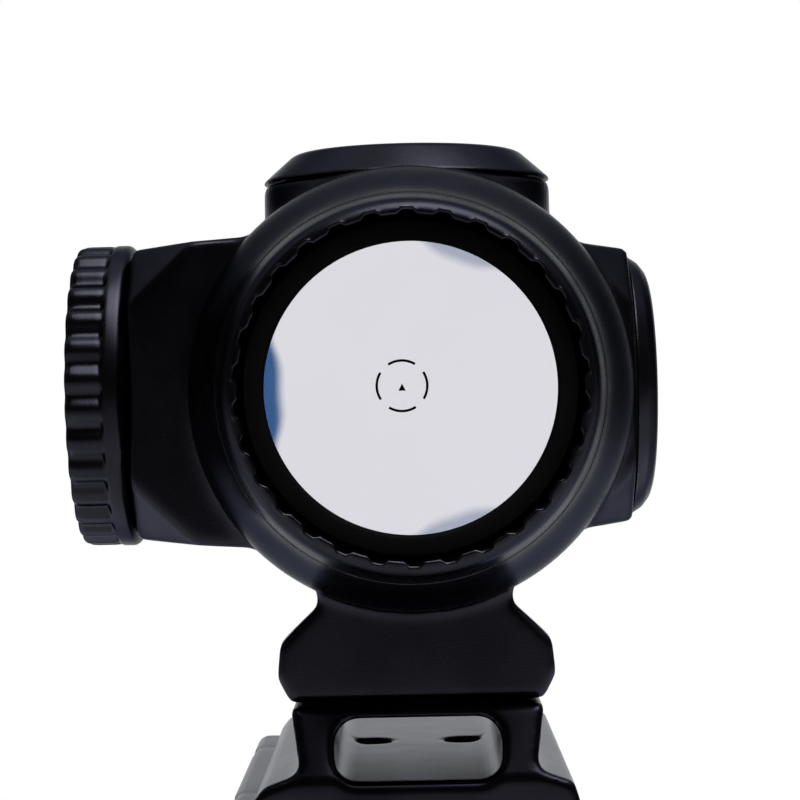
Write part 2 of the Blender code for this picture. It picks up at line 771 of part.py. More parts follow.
def build():
    clear_scene()
    black = finish_material("black_anodised", (0.014, 0.014, 0.02), 0.45, 0.3)
    inner_black = finish_material("inner_black", (0.006, 0.006, 0.008), 0.7, 0.0)
    rubber = finish_material("seal_rubber", (0.012, 0.012, 0.012), 0.8, 0.0)
    steel = finish_material("black_steel", (0.03, 0.03, 0.034), 0.35, 0.8)
    bright = finish_material("bright_steel", (0.6, 0.6, 0.62), 0.25, 1.0)
    brass = finish_material("brass", (0.55, 0.4, 0.15), 0.3, 1.0)
    board_green = finish_material("board", (0.02, 0.12, 0.05), 0.5, 0.0)
    lamp_red = finish_material("lamp", (0.5, 0.02, 0.01), 0.3, 0.0)
    coated = glass_material("coated_glass", (0.93, 0.95, 1.0))

    housing = main_housing()
    bell = eyepiece_bell()
    focus = focus_ring()
    cell = eyepiece_cell()
    eye_glass, eye_retainer, eye_seal, key = eyepiece()
    gimbal = gimbal_ring()
    pin_left, pin_right, pin_top, pin_bottom = gimbal_pins()
    tube = inner_tube()
    plate, plate_retainer = reticle()
    led, led_board = lamp()
    lead = lamp_lead()
    leaf = return_spring()
    bezel = objective_bezel()
    front_glass, front_retainer, front_seal = objective()
    top_cap = elevation_cap()
    top_dial, top_plunger, top_ball, top_seal = turret_works("elevation", UP, ELEVATION_BOSS_TOP)
    side_cap = windage_cap()
    side_dial, side_plunger, side_ball, side_seal = turret_works("windage", TO_RIGHT, WINDAGE_BOSS_END)
    knob = brightness_knob()
    snap, magnet, detent, detent_spring = knob_works()
    cap = battery_cap()
    cap_seal, coin_cell, board, contact = battery_works()
    riser = riser_mount()
    fasteners = foot_fasteners()
    jaw = clamp_jaw()
    bolts = [clamp_bolt(name, y) for name, y in zip(("clamp_bolt_rear", "clamp_bolt_front"), BOLT_Y)]

    paint(black, [housing, bell, focus, bezel, top_cap, side_cap, knob, cap, riser, jaw])
    paint(inner_black, [cell, eye_retainer, tube, plate_retainer, front_retainer, gimbal])
    paint(rubber, [eye_seal, front_seal, top_seal, side_seal, cap_seal])
    paint(steel, [key, pin_left, pin_right, pin_top, pin_bottom, *fasteners, *bolts])
    paint(bright, [coin_cell, snap, magnet, detent, detent_spring, top_ball, side_ball, leaf, contact])
    paint(brass, [top_dial, side_dial, top_plunger, side_plunger])
    paint(board_green, [board, led_board])
    paint(lamp_red, [led])
    paint(inner_black, [lead])
    paint(coated, [eye_glass, plate, front_glass])

    carry(joint_empty("focus_axis", CENTRE), [focus])
    carry(joint_empty("cell_axis", CENTRE), [cell, eye_glass, eye_retainer])
    carry(joint_empty("elevation_axis", CENTRE), [top_dial, top_plunger, top_cap, top_seal])
    carry(joint_empty("windage_axis", CENTRE), [side_dial, side_plunger, side_cap, side_seal])
    tilting = [gimbal, pin_top, pin_bottom, tube, plate, plate_retainer, led, led_board]
    carry(joint_empty("gimbal_axis", GIMBAL_PIVOT), tilting)
    carry(joint_empty("knob_axis", CENTRE), [knob, magnet])
    carry(joint_empty("jaw_axis", (0, 0, BOLT_Z)), [jaw, *bolts])


build()
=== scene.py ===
"""The red dot finder as it looks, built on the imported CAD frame.

Shapes are in millimetres: x to the right, y along the optical axis towards the objective, and z up from
the optical axis, seen from behind the eyepiece. A turned outline lists (distance along the axis, radius).
"""

import itertools
import json
import math

import bmesh
import bpy
import numpy as np
from mathutils import Matrix, Vector


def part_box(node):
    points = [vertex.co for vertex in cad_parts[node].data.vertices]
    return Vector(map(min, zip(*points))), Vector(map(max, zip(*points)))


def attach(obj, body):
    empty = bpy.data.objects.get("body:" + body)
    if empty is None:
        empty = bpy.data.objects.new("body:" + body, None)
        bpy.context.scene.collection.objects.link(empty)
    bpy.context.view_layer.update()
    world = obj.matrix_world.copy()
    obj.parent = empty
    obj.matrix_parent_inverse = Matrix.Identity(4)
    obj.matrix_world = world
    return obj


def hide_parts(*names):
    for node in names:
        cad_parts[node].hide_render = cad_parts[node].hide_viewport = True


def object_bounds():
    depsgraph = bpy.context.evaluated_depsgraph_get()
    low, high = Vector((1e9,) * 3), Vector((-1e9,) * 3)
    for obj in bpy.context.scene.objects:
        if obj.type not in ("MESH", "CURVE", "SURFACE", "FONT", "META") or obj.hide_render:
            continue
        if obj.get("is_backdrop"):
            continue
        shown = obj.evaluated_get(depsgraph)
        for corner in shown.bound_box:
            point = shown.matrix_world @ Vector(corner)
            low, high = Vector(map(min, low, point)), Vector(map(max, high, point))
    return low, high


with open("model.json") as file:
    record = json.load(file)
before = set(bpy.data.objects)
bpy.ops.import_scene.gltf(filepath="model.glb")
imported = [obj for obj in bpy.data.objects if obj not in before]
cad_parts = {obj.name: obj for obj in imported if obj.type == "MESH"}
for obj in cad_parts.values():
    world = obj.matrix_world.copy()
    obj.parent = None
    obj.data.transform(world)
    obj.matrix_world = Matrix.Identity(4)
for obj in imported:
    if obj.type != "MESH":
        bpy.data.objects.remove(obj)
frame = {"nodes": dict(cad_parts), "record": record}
CAD_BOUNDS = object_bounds()

MM = 0.001
ROUND = 144
SHARP_ANGLE = math.radians(38)
BODY_STEP = 0.36
RISER_STEP = 0.3

FRONT = Vector((0, 1, 0))
UP = Vector((0, 0, 1))
RIGHT = Vector((1, 0, 0))
LEFT = Vector((-1, 0, 0))
AXIS = sum(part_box("focus_ring"), Vector()) / 2
AXIS_Z = AXIS.z / MM


def span(node):
    """A CAD node's lowest and highest corner, in millimetres from the optical axis."""
    low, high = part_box(node)
    lift = Vector((0, 0, AXIS_Z))
    return low / MM - lift, high / MM - lift


# ---------------------------------------------------------------- solids from distance fields


def blurred(values):
    """The field averaged with its neighbours, which rounds every edge and leaves flat faces in place."""
    for axis in range(3):
        moved = np.moveaxis(values, axis, 0)
        moved[1:-1] = 0.25 * moved[:-2] + 0.5 * moved[1:-1] + 0.25 * moved[2:]
    return values


def net_points(values):
    """Where the surface passes each cell that it crosses, and the number of each such cell."""
    cells = tuple(n - 1 for n in values.shape)
    corners = list(itertools.product((0, 1), repeat=3))

    def corner(array, place):
        return array[tuple(slice(p, p + n) for p, n in zip(place, cells))]

    filled = sum(corner(values < 0, place).astype(np.int8) for place in corners)
    crossed = (filled > 0) & (filled < len(corners))
    where = np.argwhere(crossed)
    number = np.full(cells, -1, np.int64)
    number[crossed] = np.arange(len(where))
    total = np.zeros((len(where), 3))
    hits = np.zeros(len(where))
    for start, axis in itertools.product(corners, range(3)):
        if start[axis]:
            continue
        end = tuple(1 if i == axis else p for i, p in enumerate(start))
        first = corner(values, start)[crossed]
        last = corner(values, end)[crossed]
        hit = (first < 0) != (last < 0)
        total[hit] += start
        total[hit, axis] += first[hit] / (first[hit] - last[hit])
        hits[hit] += 1
    return where + total / hits[:, None], number


def net_faces(values, number):
    """One face for each grid edge that the surface cuts, turned outwards."""
    inside = values < 0
    faces = []
    for axis in range(3):
        first, second = (axis + 1) % 3, (axis + 2) % 3
        lower = np.take(inside, range(inside.shape[axis] - 1), axis)
        upper = np.take(inside, range(1, inside.shape[axis]), axis)
        edges = np.argwhere(lower != upper)
        ring = []
        for back_first, back_second in ((1, 1), (0, 1), (0, 0), (1, 0)):
            cell = edges.copy()
            cell[:, first] -= back_first
            cell[:, second] -= back_second
            ring.append(number[tuple(cell.T)])
        quads = np.stack(ring, axis=1)
        outward = lower[tuple(edges.T)]
        faces.append(np.where(outward[:, None], quads, quads[:, ::-1]))
    return np.concatenate(faces)


def surface(name, field, low, high, step, passes=2):
    """A closed mesh of the solid where field is negative."""
    margin = 4
    axes = [np.arange(a - margin * step, b + (margin + 1) * step, step) for a, b in zip(low, high)]
    x, y, z = np.meshgrid(*axes, indexing="ij", sparse=True)
    values = np.array(field(x, y, z), np.float32)
    for _ in range(passes):
        values = blurred(values)
    points, number = net_points(values)
    origin = np.array([a[0] for a in axes])
    points = (points * step + origin + (0, 0, AXIS_Z)) * MM
    return placed(name, points, net_faces(values, number))


def slab(along, start, end):
    return np.maximum(start - along, along - end)


def smooth_union(a, b, width):
    """The two solids together, with a fillet along their meeting line."""
    share = np.clip(0.5 + 0.5 * (b - a) / width, 0, 1)
    return b * (1 - share) + a * share - width * share * (1 - share)


def smooth_cut(a, b, width):
    """Solid a without solid b, with the rim rounded."""
    return -smooth_union(-a, b, width)


def polygon(outline, across, up):
    """Distance to a closed outline, negative inside it."""
    nearest = np.inf
    inside = False
    for (ax, az), (bx, bz) in zip(outline, outline[1:] + outline[:1]):
        ex, ez = bx - ax, bz - az
        share = np.clip(((across - ax) * ex + (up - az) * ez) / (ex * ex + ez * ez), 0, 1)
        nearest = np.minimum(nearest, np.hypot(across - ax - share * ex, up - az - share * ez))
        if bz != az:
            passes = ((az > up) != (bz > up)) & (across < ax + (up - az) * ex / ez)
            inside = inside ^ passes
    return np.where(inside, -nearest, nearest)


# ---------------------------------------------------------------- turned and drawn solids


def placed(name, points, faces):
    mesh = bpy.data.meshes.new(name)
    mesh.from_pydata(np.asarray(points).tolist(), [], np.asarray(faces).tolist())
    mesh.shade_smooth()
    mesh.set_sharp_from_angle(angle=SHARP_ANGLE)
    obj = bpy.data.objects.new(name, mesh)
    bpy.context.scene.collection.objects.link(obj)
    return obj


def rounded(outline, size, steps=3):
    """The outline with each corner that is off the axis replaced by a short curve."""
    closed = outline[0][1] > 0
    count = len(outline)
    found = []
    for i, (along, radius) in enumerate(outline):
        if radius == 0 or (not closed and i in (0, count - 1)):
            found.append((along, radius))
            continue
        here = Vector((along, radius))
        before = Vector(outline[i - 1]) - here
        after = Vector(outline[(i + 1) % count]) - here
        first = here + before * min(size / before.length, 0.45)
        last = here + after * min(size / after.length, 0.45)
        for step in range(steps + 1):
            share = step / steps
            point = first.lerp(here, share).lerp(here.lerp(last, share), share)
            found.append((point.x, point.y))
    return found


def turned(name, outline, towards, steps=ROUND, shape=None, middle=(0, 0, 0)):
    """A solid of revolution. shape changes each point's radius by its place and angle."""
    closed = outline[0][1] > 0
    line = np.array(outline, float)
    angles = np.arange(steps) * math.tau / steps
    along, angle = np.meshgrid(line[:, 0], angles, indexing="ij")
    radius = np.repeat(line[:, 1:], steps, axis=1)
    if shape is not None:
        radius = shape(along, radius, angle)
    axis = np.array(towards)
    side = np.array(UP if abs(towards.z) < 0.5 else RIGHT)
    third = np.cross(axis, side)
    points = (
        axis * along[..., None]
        + side * (radius * np.cos(angle))[..., None]
        + third * (radius * np.sin(angle))[..., None]
    )
    points = (points + np.array(middle) + (0, 0, AXIS_Z)) * MM
    rows = len(outline)
    index = np.arange(rows * steps).reshape(rows, steps)
    if not closed:
        index[0], index[-1] = index[0, 0], index[-1, 0]
    last = rows if closed else rows - 1
    faces = []
    for row in range(last):
        low, high = index[row], index[(row + 1) % rows]
        for step in range(steps):
            after = (step + 1) % steps
            corners = [low[step], low[after], high[after], high[step]]
            faces.append(list(dict.fromkeys(int(c) for c in corners)))
    return tidied(name, points.reshape(-1, 3), faces)


def tidied(name, points, faces):
    """The mesh with loose points removed and its faces turned outwards."""
    obj = placed(name, points, np.array(faces, dtype=object))
    shape = bmesh.new()
    shape.from_mesh(obj.data)
    bmesh.ops.delete(shape, geom=[v for v in shape.verts if not v.link_faces], context="VERTS")
    bmesh.ops.recalc_face_normals(shape, faces=shape.faces)
    shape.to_mesh(obj.data)
    shape.free()
    obj.data.set_sharp_from_angle(angle=SHARP_ANGLE)
    return obj


def ring_outline(start, end, inside, outside):
    return [(start, inside), (start, outside), (end, outside), (end, inside)]


def rod_outline(start, end, radius):
    return [(start, 0), (start, radius), (end, radius), (end, 0)]


def block(name, low, high):
    """A plain box, used as a cutter."""
    corners = list(itertools.product(*zip(low, high)))
    points = (np.array(corners, float) + (0, 0, AXIS_Z)) * MM
    faces = [(0, 1, 3, 2), (4, 6, 7, 5), (0, 4, 5, 1), (2, 3, 7, 6), (0, 2, 6, 4), (1, 5, 7, 3)]
    return tidied(name, points, [list(face) for face in faces])


def applied(obj):
    """obj with its modifiers made part of its mesh."""
    graph = bpy.context.evaluated_depsgraph_get()
    mesh = bpy.data.meshes.new_from_object(obj.evaluated_get(graph))
    obj.modifiers.clear()
    obj.data = mesh
    mesh.shade_smooth()
    mesh.set_sharp_from_angle(angle=SHARP_ANGLE)
    return obj


def carved(obj, cutter, edge=0.12):
    """obj with the cutter taken out and its sharp edges broken."""
    cut = obj.modifiers.new("cut", "BOOLEAN")
    cut.operation = "DIFFERENCE"
    cut.object = cutter
    cut.solver = "EXACT"
    bevel = obj.modifiers.new("edge", "BEVEL")
    bevel.width = edge * MM
    bevel.segments = 2
    bevel.limit_method = "ANGLE"
    bevel.angle_limit = math.radians(60)
    bevel.use_clamp_overlap = True
    applied(obj)
    bpy.data.objects.remove(cutter)
    return obj


def fitted(obj, body, nodes, material, slot):
    """The finished piece: it moves with its CAD body, and stands for those CAD nodes."""
    obj.data.materials.clear()
    obj.data.materials.append(material)
    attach(obj, body)
    if nodes:
        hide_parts(*nodes)
    return obj


# ---------------------------------------------------------------- materials


class Nodes:
    """A material's node tree, with short calls to add and link nodes."""

    def __init__(self, name):
        self.material = bpy.data.materials.new(name)
        self.material.use_nodes = True
        self.tree = self.material.node_tree
        self.shader = self.tree.nodes["Principled BSDF"]
        self.place = self.add("ShaderNodeTexCoord").outputs["Object"]

    def add(self, kind, **settings):
        node = self.tree.nodes.new(kind)
        for key, value in settings.items():
            setattr(node, key, value)
        return node

    def link(self, output, socket):
        self.tree.links.new(output, socket)

    def noise(self, scale, detail=4.0, stretch=(1, 1, 1)):
        mapping = self.add("ShaderNodeMapping")
        mapping.inputs["Scale"].default_value = stretch
        self.link(self.place, mapping.inputs["Vector"])
        noise = self.add("ShaderNodeTexNoise")
        noise.inputs["Scale"].default_value = scale
        noise.inputs["Detail"].default_value = detail
        self.link(mapping.outputs["Vector"], noise.inputs["Vector"])
        return noise.outputs["Fac"]

    def ramp(self, value, low, high, start=0.0, end=1.0):
        """value carried from low..high to start..end, and held there outside."""
        node = self.add("ShaderNodeMapRange", interpolation_type="SMOOTHSTEP")
        node.inputs["From Min"].default_value = low
        node.inputs["From Max"].default_value = high
        node.inputs["To Min"].default_value = start
        node.inputs["To Max"].default_value = end
        self.link(value, node.inputs["Value"])
        return node.outputs["Result"]

    def math(self, operation, first, second):
        node = self.add("ShaderNodeMath", operation=operation)
        for socket, value in zip(node.inputs, (first, second)):
            if isinstance(value, float):
                socket.default_value = value
            else:
                self.link(value, socket)
        return node.outputs["Value"]

    def mix(self, share, first, second):
        node = self.add("ShaderNodeMix", data_type="RGBA")
        sockets = [s for s in node.inputs if s.enabled]
        for socket, value in zip(sockets, (share, first, second)):
            if isinstance(value, tuple):
                socket.default_value = (*value, 1.0)
            else:
                self.link(value, socket)
        return [s for s in node.outputs if s.enabled][0]

    def dot(self, first, direction):
        node = self.add("ShaderNodeVectorMath", operation="DOT_PRODUCT")
        self.link(first, node.inputs[0])
        if isinstance(direction, tuple):
            node.inputs[1].default_value = direction
        else:
            self.link(direction, node.inputs[1])
        return node.outputs["Value"]

    def edges(self, radius):
        """1 along convex edges, fading to 0 on the faces."""
        bevel = self.add("ShaderNodeBevel", samples=4)
        bevel.inputs["Radius"].default_value = radius * MM
        normal = self.add("ShaderNodeNewGeometry").outputs["Normal"]
        return self.ramp(self.dot(normal, bevel.outputs["Normal"]), 0.995, 0.93)

    def bump(self, height, strength, distance):
        node = self.add("ShaderNodeBump")
        node.inputs["Strength"].default_value = strength
        node.inputs["Distance"].default_value = distance * MM
        self.link(height, node.inputs["Height"])
        self.link(node.outputs["Normal"], self.shader.inputs["Normal"])

    def set(self, **values):
        for name, value in values.items():
            socket = self.shader.inputs[name.replace("_", " ")]
            if isinstance(value, (float, tuple)):
                socket.default_value = value
            else:
                self.link(value, socket)


def worn_surface(
    name, dark, light, worn, roughness, metallic, grain, grain_depth, wear=0.5, edge_tint=1.0, uneven=0.035
):
    """A finish with mottled colour and gloss, a fine grain, and lighter worn edges."""
    nodes = Nodes(name)
    mottle = nodes.ramp(nodes.noise(140.0), 0.3, 0.7)
    scuffs = nodes.ramp(nodes.noise(900.0, 6.0, (1, 0.35, 1)), 0.45, 0.7)
    fine = nodes.noise(grain, 3.0)
    rubbed = nodes.math("MULTIPLY", nodes.edges(0.35), nodes.math("MULTIPLY", scuffs, wear))
    colour = nodes.mix(rubbed, nodes.mix(mottle, dark, light), worn)
    gloss = nodes.ramp(nodes.noise(260.0, 5.0), 0.25, 0.75, roughness - uneven, roughness + uneven)
    nodes.set(Base_Color=colour, Roughness=gloss, Metallic=metallic)
    if metallic > 0.5:
        tint = tuple(edge_tint * part for part in (0.93, 0.95, 1.0))
        nodes.set(Specular_Tint=(*tint, 1.0))
    else:
        nodes.set(Specular_IOR_Level=0.5 * edge_tint)
    nodes.bump(fine, 0.35, grain_depth)
    return nodes.material


def coated_glass(name, tint, painted_blue_reflection=False):
    """Clear glass, and on request a painted blue reflection in crescents near the rim of the window."""
    nodes = Nodes(name)
    cloud = nodes.ramp(nodes.noise(90.0), 0.3, 0.7)
    clear = nodes.mix(cloud, tuple(part * 0.99 for part in tint), tint)
    if painted_blue_reflection:
        # Painted reflection: blue crescents mixed into the glass colour near the rim of the window.
        clear = nodes.mix(painted_reflection_share(nodes), clear, PAINTED_REFLECTION_BLUE)
    smear = nodes.ramp(nodes.noise(300.0), 0.4, 0.8, 0.0, 0.004)
    nodes.set(Base_Color=clear, Roughness=smear, Transmission_Weight=1.0, IOR=1.08)
    return nodes.material


# The colour of the painted blue reflection on the window glass.
PAINTED_REFLECTION_BLUE = (0.05, 0.13, 0.30)
# Each crescent of painted blue reflection: direction across the window, how wide round the rim, how deep
# inwards (mm), how strong.
PAINTED_REFLECTION_CRESCENTS = (
    ((-1.0, 0.0, -0.02), 0.90, 1.9, 1.0),
    ((0.36, 0.0, 0.93), 0.94, 1.5, 0.5),
    ((0.30, 0.0, -0.95), 0.93, 1.5, 0.5),
)
WINDOW_RADIUS = 12.65


def painted_reflection_share(nodes):
    """How strongly the painted blue reflection shows at each place of the window."""
    centred = nodes.add("ShaderNodeVectorMath", operation="SUBTRACT")
    nodes.link(nodes.place, centred.inputs[0])
    centred.inputs[1].default_value = AXIS
    flat = nodes.add("ShaderNodeVectorMath", operation="MULTIPLY")
    nodes.link(centred.outputs["Vector"], flat.inputs[0])
    flat.inputs[1].default_value = (1, 0, 1)
    length = nodes.add("ShaderNodeVectorMath", operation="LENGTH")
    nodes.link(flat.outputs["Vector"], length.inputs[0])
    unit = nodes.add("ShaderNodeVectorMath", operation="NORMALIZE")
    nodes.link(flat.outputs["Vector"], unit.inputs[0])
    total = None
    for direction, width, depth, strength in PAINTED_REFLECTION_CRESCENTS:
        facing = nodes.ramp(nodes.dot(unit.outputs["Vector"], direction), width, 1.0)
        reach = nodes.math("SUBTRACT", nodes.math("DIVIDE", length.outputs["Value"], MM), WINDOW_RADIUS)
        inwards = nodes.math("ADD", reach, nodes.math("MULTIPLY", facing, depth))
        share = nodes.math("MULTIPLY", nodes.ramp(inwards, 0.0, 1.2), strength)
        total = share if total is None else nodes.math("MAXIMUM", total, share)
    return total


def make_materials():
    """One finish for each of the record's material slots, and a few for single pieces."""
    return {
        "black_anodised": worn_surface(
            "anodised", (0.027, 0.027, 0.036), (0.036, 0.036, 0.047), (0.13, 0.13, 0.15),
            0.27, 1.0, 5200.0, 0.03, 0.4, 0.46,
        ),
        "rail_anodised": worn_surface(
            "clamp_anodised", (0.020, 0.020, 0.028), (0.030, 0.030, 0.041), (0.14, 0.14, 0.16),
            0.24, 1.0, 5200.0, 0.008, 0.3, 0.6, 0.012,
        ),
        "inner_black": worn_surface(
            "matt_black", (0.0012, 0.0012, 0.0016), (0.0028, 0.0028, 0.0036), (0.02, 0.02, 0.024),
            0.8, 0.0, 4200.0, 0.04, 0.3, 0.25,
        ),
        "seal_rubber": worn_surface(
            "rubber", (0.010, 0.010, 0.011), (0.016, 0.016, 0.017), (0.03, 0.03, 0.03),
            0.7, 0.0, 3800.0, 0.03, 0.2,
        ),
        "black_steel": worn_surface(
            "blackened_steel", (0.04, 0.04, 0.045), (0.06, 0.06, 0.066), (0.35, 0.35, 0.37),
            0.34, 1.0, 6000.0, 0.03, 0.8,
        ),
        "bright_steel": worn_surface(
            "steel", (0.50, 0.50, 0.52), (0.62, 0.62, 0.64), (0.80, 0.80, 0.82),
            0.28, 1.0, 6000.0, 0.02, 0.6,
        ),
        "brass": worn_surface(
            "brass", (0.50, 0.34, 0.12), (0.62, 0.45, 0.17), (0.80, 0.62, 0.30),
            0.30, 1.0, 5200.0, 0.02, 0.7,
        ),
        "circuit_board": worn_surface(
            "board", (0.015, 0.09, 0.035), (0.022, 0.13, 0.05), (0.15, 0.25, 0.12),
            0.45, 0.0, 3000.0, 0.03, 0.4,
        ),
        "lamp": worn_surface(
            "lamp_resin", (0.42, 0.02, 0.01), (0.55, 0.03, 0.015), (0.7, 0.15, 0.1),
            0.25, 0.0, 3000.0, 0.01, 0.2,
        ),
        "coated_glass": coated_glass("glass", (0.90, 0.897, 0.918)),
        # The window glass carries the painted blue reflection.
        "eyepiece_glass": coated_glass("window_glass", (0.90, 0.897, 0.918), True),
    }


# ---------------------------------------------------------------- the housing

BARREL_RADIUS = 20.7
BARREL_NOSE_RADIUS = 19.9
BORE_RADIUS = 17.9
BOSS_RADIUS = 14.05
BOSS_TOP = 20.3
SEAL_SEAT_RADIUS = 12.7
SEAL_SEAT_FLOOR = 19.9
POCKET_RADIUS = 10.3
POCKET_FLOOR = 18.9
WELL_RADIUS = 11.3
WELL_FLOOR = 20.2
COLLAR_RADIUS = 12.3
NECK = 9.2
COLLAR_START = 24.0
COLLAR_END = 30.6
SNAP_GROOVE = (28.7, 29.5)
SNAP_GROOVE_RADIUS = 11.9
PLUNGER_HOLE_RADIUS = 2.1
PLUNGER_HOLE_END = 14.0
LEFT_BOSS_END = 26.4
RIGHT_BOSS_END = 21.0
BOSS_ROOT = 8.0
FACET_CORNER = 5.65
TOP_BOSS_ROOT = 6.0
SIDE_FILLET = 0.6
TOP_FILLET = 1.7
FOOT_FILLET = 0.7
FOOT_REAR = -12.5
FOOT_FRONT = 14.0
FLARE_START = -20.2
FLARE_FALL = 0.94
FLARE_FORWARD = 0.045
FOOT = [(NECK, -14.0), (NECK, -20.0), (12.8, -23.8), (13.1, -27.0), (11.9, -29.3)]


def boss_field(reach, half_height, half_depth, taper, cut_length, out, y, z):
    """A side boss: a block that narrows outwards, with each outer corner cut to a triangular facet."""
    across, up = np.abs(y), np.abs(z)
    root = reach - cut_length
    first = Vector((root, half_depth, half_height + cut_length * taper))
    second = Vector((reach, half_depth, half_height - FACET_CORNER))
    third = Vector((reach, half_depth - FACET_CORNER, half_height))
    normal = (second - first).cross(third - first).normalized()
    if normal.y < 0:
        normal.negate()
    facet = (out - first.x) * normal.x + (across - first.y) * normal.y + (up - first.z) * normal.z
    level = (up - half_height - (reach - out) * taper) / math.hypot(1, taper)
    end = np.maximum(out - reach, BOSS_ROOT - out)
    return np.maximum(np.maximum(across - half_depth, level), np.maximum(end, facet))


def barrel_field(x, y, z):
    low, high = span("main_housing")
    nose = np.clip((y - 13.0) / 2.0, 0, 1)
    radius = BARREL_RADIUS + (BARREL_NOSE_RADIUS - BARREL_RADIUS) * nose
    return np.maximum(np.hypot(x, z) - radius, slab(y, low.y, high.y))


def foot_field(x, y, z):
    """The neck, and below it a flared foot whose upper side slopes down towards the front."""
    outline = polygon(FOOT + [(-across, up) for across, up in reversed(FOOT)], x, z)
    neck = np.maximum(outline, np.abs(x) - NECK)
    slope = z - FLARE_START + FLARE_FALL * (np.abs(x) - NECK) + FLARE_FORWARD * (y - FOOT_REAR)
    flare = np.maximum(outline, slope / math.hypot(1, FLARE_FALL))
    return np.maximum(np.minimum(neck, flare), slab(y, FOOT_REAR, FOOT_FRONT))


def housing_field(x, y, z):
    round_axis, round_up, round_side = np.hypot(x, z), np.hypot(x, y), np.hypot(y, z)
    body = barrel_field(x, y, z)
    left = boss_field(LEFT_BOSS_END, 13.84, 14.0, 0.064, 6.4, -x, y, z)
    right = boss_field(RIGHT_BOSS_END, 13.05, 13.3, 0.08, 5.4, x, y, z)
    sides = np.minimum(left, right)
    top = np.maximum(round_up - BOSS_RADIUS, slab(z, TOP_BOSS_ROOT, BOSS_TOP))
    body = smooth_union(body, sides, SIDE_FILLET)
    body = smooth_union(body, top, TOP_FILLET)
    body = smooth_union(body, foot_field(x, y, z), FOOT_FILLET)
    body = np.maximum(body, -np.maximum(round_up - BOSS_RADIUS - 0.2, BOSS_TOP - z))
    body = np.maximum(body, -np.maximum(round_up - SEAL_SEAT_RADIUS, SEAL_SEAT_FLOOR - z))
    collar = np.maximum(round_side - COLLAR_RADIUS, slab(-x, COLLAR_START, COLLAR_END))
    collar = np.maximum(collar, -np.maximum(SNAP_GROOVE_RADIUS - round_side, slab(-x, *SNAP_GROOVE)))
    body = np.minimum(body, collar)
    body = np.maximum(body, BORE_RADIUS - round_axis)
    for radial, along in ((round_up, z), (round_side, x)):
        pocket = np.minimum(
            np.maximum(radial - POCKET_RADIUS, POCKET_FLOOR - along),
            np.maximum(radial - PLUNGER_HOLE_RADIUS, PLUNGER_HOLE_END - along),
        )
        body = np.maximum(body, -pocket)
    return np.maximum(body, -np.maximum(round_side - WELL_RADIUS, WELL_FLOOR + x))


def housing_shell():
    low, high = span("main_housing")
    return surface("housing_shell", housing_field, low, high, BODY_STEP)


BELL_REAR_RADIUS = 17.3
BELL_SEAM = 0.06


def eyepiece_bell():
    """The flared rear bell. It ends a hair short of the housing, which leaves a fine seam."""
    low, high = span("eyepiece_bell")
    rear, front = low.y, span("main_housing")[0].y - BELL_SEAM
    steps = 20
    outline = []
    for i in range(steps + 1):
        share = i / steps
        swell = (1 - math.cos(math.pi * share)) / 2
        radius = BELL_REAR_RADIUS + (BARREL_RADIUS - BELL_REAR_RADIUS) * swell
        outline.append((rear + (front - rear) * share, radius))
    inner = [(front, 17.6), (high.y, 17.6), (high.y, 15.9), (-16.0, 15.5), (rear, 15.5)]
    return turned("eyepiece_bell_shell", rounded(outline + inner, 0.2, 2), FRONT)


NOTCHES = 30


def pulse(angle, count, width):
    """1 in the middle of each of count notches round the turn, and 0 between them."""
    place = np.abs((angle * count / math.tau) % 1.0 - 0.5) * 2
    share = np.clip((place - (1 - width)) / (0.6 * width), 0, 1)
    return share * share * (3 - 2 * share)


def focus_ring():
    """The ring round the window: a rounded rim with short notches on its inner edge."""
    rear = span("focus_ring")[0].y
    outline = [
        (-27.3, 17.2), (-30.2, 16.7), (-31.5, 16.38), (-32.2, 16.12), (-32.65, 15.78), (-32.9, 15.4),
        (rear, 14.98), (-32.75, 14.75), (-27.3, 14.75),
    ]

    def notched(along, radius, angle):
        near_rim = np.clip((-31.2 - along) / 0.8, 0, 1) * np.clip((15.5 - radius) / 0.4, 0, 1)
        return radius + 0.38 * near_rim * pulse(angle, NOTCHES, 0.6)

    return turned("focus_ring_rim", rounded(outline, 0.5, 4), FRONT, NOTCHES * 14, notched)


KEY_SLOT = ((-1.2, -24.2, -16.0), (1.2, -19.8, -13.0))


def eyepiece_cell():
    """The black ring that holds the window, with a slot for the key screw."""
    low, high = span("eyepiece_cell")
    outline = [
        (low.y, WINDOW_RADIUS + 0.25), (low.y, 14.4), (-26.6, 14.4), (-26.6, 15.2), (high.y, 15.2),
        (high.y, 14.2), (-26.0, 14.2), (-26.0, 13.6), (-30.9, 13.6), (-30.9, WINDOW_RADIUS),
        (-31.2, WINDOW_RADIUS),
    ]
    cell = turned("window_cell", rounded(outline, 0.12, 2), FRONT)
    return carved(cell, block("cell_key_cut", *KEY_SLOT), 0.08)


def lens(name, node, crown):
    """A weak lens that fills its CAD node's edge, with finely curved faces."""
    low, high = span(node)
    radius = (high.x - low.x) / 2
    rings = 14
    shares = [i / rings for i in range(rings)]
    rear = [(low.y + crown * share**2, radius * share) for share in shares]
    front = [(high.y - crown * share**2, radius * share) for share in reversed(shares)]
    edge = [(low.y + crown, radius - 0.05), (low.y + crown + 0.1, radius)]
    edge += [(high.y - crown - 0.1, radius), (high.y - crown, radius - 0.05)]
    return turned(name, rear + edge + front, FRONT, 96)


def threaded(start, end, inside, depth, pitch):
    """The inside wall of a blackened tube, cut with fine ridges against stray light."""
    count = int((end - start) / pitch)
    points = []
    for i in range(count):
        along = end - pitch * i
        points += [(along, inside), (along - pitch / 2, inside + depth)]
    return points


TUBE_RADIUS = 16.3
TUBE_INSIDE = 15.4
PIN_HOLE_RADIUS = 0.9
PIN_HOLE_REACH = 18.0


